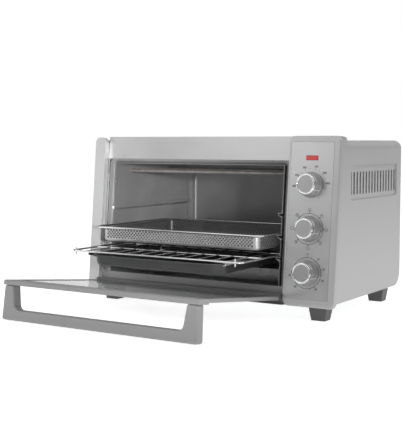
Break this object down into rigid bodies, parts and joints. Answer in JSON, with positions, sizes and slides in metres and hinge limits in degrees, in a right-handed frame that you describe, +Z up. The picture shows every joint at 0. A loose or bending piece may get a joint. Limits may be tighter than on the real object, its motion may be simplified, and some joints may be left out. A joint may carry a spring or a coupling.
{
  "type": "toaster oven",
  "caption": "Countertop toaster oven with a leaning steel front, drop-down glass door and full-width handle, wire rack with hanging pan, perforated basket and a side panel of round dials.",
  "frame": {"origin": "on the floor, at the middle of the whole footprint with the door open, under the middle of the body's width", "axes": "+Z up, +Y from the door towards the rear panel, +X towards the control panel"},
  "size_m": [0.483, 0.5388, 0.2914],
  "materials": {
    "painted_steel": "satin silver paint on folded sheet",
    "bare_steel": "zinc-coated sheet, slightly dull",
    "chrome_wire": "bright plated wire and perforated sheet",
    "knob_cap_chrome": "bright ring round a spun face",
    "silver_plastic": "silver moulded plastic, satin gloss",
    "brushed_steel": "brushed along its length",
    "cavity_enamel": "grey oven coating, semi-gloss",
    "dark_nonstick": "dark non-stick coating with a pale rim",
    "handle_grey": "grey painted moulding, satin",
    "black_plastic": "dark grey moulded, fine texture",
    "door_glass": "clear tempered glass with polished edges",
    "lamp_red": "translucent red lens",
    "element_sheath": "metal sheath with pale ceramic ends"
  },
  "bodies": {
    "oven_body": {"casing": "painted_steel", "base_plate": "bare_steel", "rear_panel": "bare_steel", "cord_gland": "black_plastic", "rear_screw_lower_left": "chrome_wire", "rear_screw_upper_left": "chrome_wire", "rear_screw_lower_right": "chrome_wire", "rear_screw_upper_right": "chrome_wire", "foot_front_left": "black_plastic", "foot_front_right": "black_plastic", "foot_rear_left": "black_plastic", "foot_rear_right": "black_plastic", "front_frame": "brushed_steel", "left_end_cap": "silver_plastic", "control_housing": "silver_plastic", "control_fascia": "brushed_steel", "lamp_lens": "lamp_red", "thermostat": "bare_steel", "function_switch": "bare_steel", "timer_mechanism": "bare_steel", "timer_bell": "bare_steel", "cavity_left_wall": "cavity_enamel", "cavity_right_wall": "cavity_enamel", "cavity_back_wall": "cavity_enamel", "cavity_ceiling": "cavity_enamel", "cavity_floor": "cavity_enamel", "lower_front_element": "element_sheath", "lower_rear_element": "element_sheath", "upper_front_element": "element_sheath", "upper_rear_element": "element_sheath", "lower_heat_shield": "bare_steel", "fan_grille": "bare_steel", "fan_housing": "bare_steel", "fan_motor": "bare_steel", "hinge_pin_left": "chrome_wire", "hinge_pin_right": "chrome_wire"},
    "door": {"door_bottom_rail": "black_plastic", "door_top_trim": "handle_grey", "door_left_trim": "handle_grey", "door_right_trim": "handle_grey", "door_glass": "door_glass", "door_handle": "handle_grey"},
    "rack": {"wire_rack": "chrome_wire", "pan_runner_left": "chrome_wire", "pan_runner_right": "chrome_wire"},
    "pan": {"baking_pan": "dark_nonstick"},
    "basket": {"basket_rim": "chrome_wire", "basket_shell": "chrome_wire"},
    "temperature_dial": {"temperature_knob": "silver_plastic", "temperature_knob_cap": "knob_cap_chrome", "temperature_shaft": "chrome_wire"},
    "function_dial": {"function_knob": "silver_plastic", "function_knob_cap": "knob_cap_chrome", "function_shaft": "chrome_wire"},
    "timer_dial": {"timer_knob": "silver_plastic", "timer_knob_cap": "knob_cap_chrome", "timer_shaft": "chrome_wire"},
    "fan": {"fan_wheel": "bare_steel", "fan_shaft": "chrome_wire"},
    "crumb_drawer": {"crumb_tray": "bare_steel"}
  },
  "joints": [
    {"name": "door_hinge", "type": "hinge", "parent": "oven_body", "child": "door", "pos_m": [0, -0.01837, 0.035], "axis": [1, 0, 0], "range_deg": [-88.7, 0]},
    {"name": "rack_slide", "type": "slide", "parent": "oven_body", "child": "rack", "axis": [0, 1, 0], "range_m": [0, 0.14]},
    {"name": "basket_slide", "type": "slide", "parent": "oven_body", "child": "basket", "axis": [0, 1, 0], "range_m": [0, 0.065]},
    {"name": "pan_slide", "type": "slide", "parent": "rack", "child": "pan", "axis": [0, -1, 0], "range_m": [0, 0.116]},
    {"name": "temperature_turn", "type": "hinge", "parent": "oven_body", "child": "temperature_dial", "pos_m": [0.19254, -0.01525, 0.21579], "axis": [0, -0.9956, 0.0941], "range_deg": [-38, 232]},
    {"name": "function_turn", "type": "hinge", "parent": "oven_body", "child": "function_dial", "pos_m": [0.19254, -0.02177, 0.1468], "axis": [0, -0.9956, 0.0941], "range_deg": [-23, 217]},
    {"name": "timer_turn", "type": "hinge", "parent": "oven_body", "child": "timer_dial", "pos_m": [0.19254, -0.02829, 0.0778], "axis": [0, -0.9956, 0.0941], "range_deg": [-203, 127]},
    {"name": "fan_spin", "type": "hinge", "parent": "oven_body", "child": "fan", "pos_m": [0.155, 0.11762, 0.2075], "axis": [1, 0, 0], "continuous": true},
    {"name": "crumb_tray_slide", "type": "slide", "parent": "oven_body", "child": "crumb_drawer", "axis": [0, 1, 0], "range_m": [0, 0.22]}
  ],
  "couplings": [
    {"joint": "rack_slide", "follows": "door_hinge", "m_per_rad": -0.0904},
    {"joint": "basket_slide", "follows": "door_hinge", "m_per_rad": -0.0419}
  ]
}
